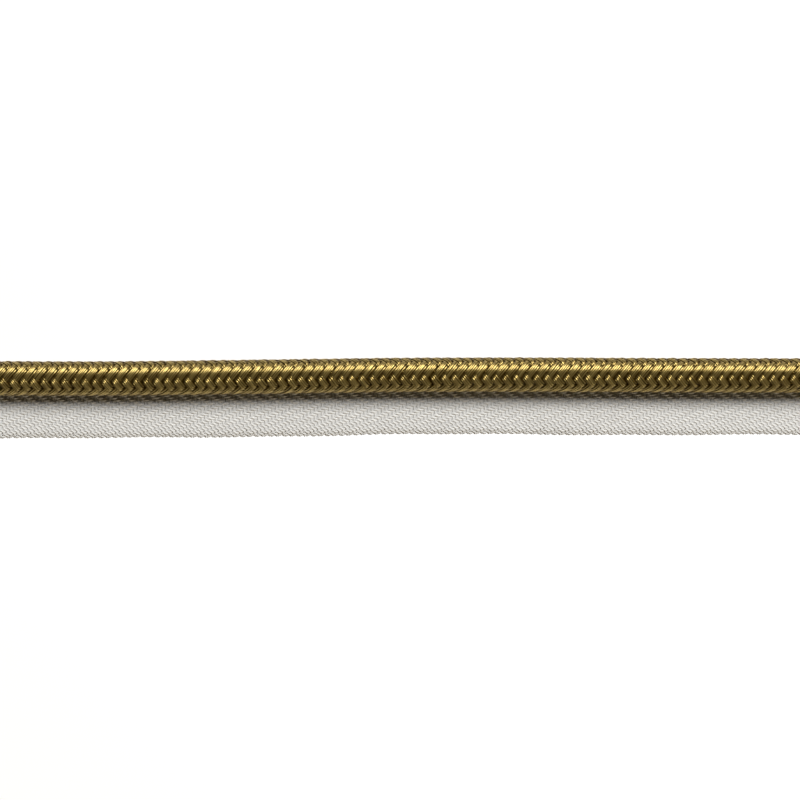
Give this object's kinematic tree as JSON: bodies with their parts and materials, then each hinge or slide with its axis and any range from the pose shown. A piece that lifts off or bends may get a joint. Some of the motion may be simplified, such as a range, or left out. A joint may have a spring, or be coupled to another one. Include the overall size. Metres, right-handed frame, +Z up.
{
  "type": "silk lip cord",
  "caption": "Cut length of lip cord trimming: a round braided silk cord sewn along the edge of a narrow herringbone tape, whose free lip is caught in a seam.",
  "frame": {"origin": "centre of the trimming's outline on the surface that it lies on", "axes": "+X along the trimming, +Y from the lip towards the cord, +Z up out of the surface"},
  "size_m": [0.15, 0.014, 0.0072],
  "materials": {
    "silk_braid": "old gold silk yarn, braided, with a soft sheen",
    "lip_tape": "natural grey-white cotton, herringbone twill, matt"
  },
  "bodies": {
    "root": {"braided_cord": "silk_braid", "lip_tape": "lip_tape"}
  },
  "joints": []
}
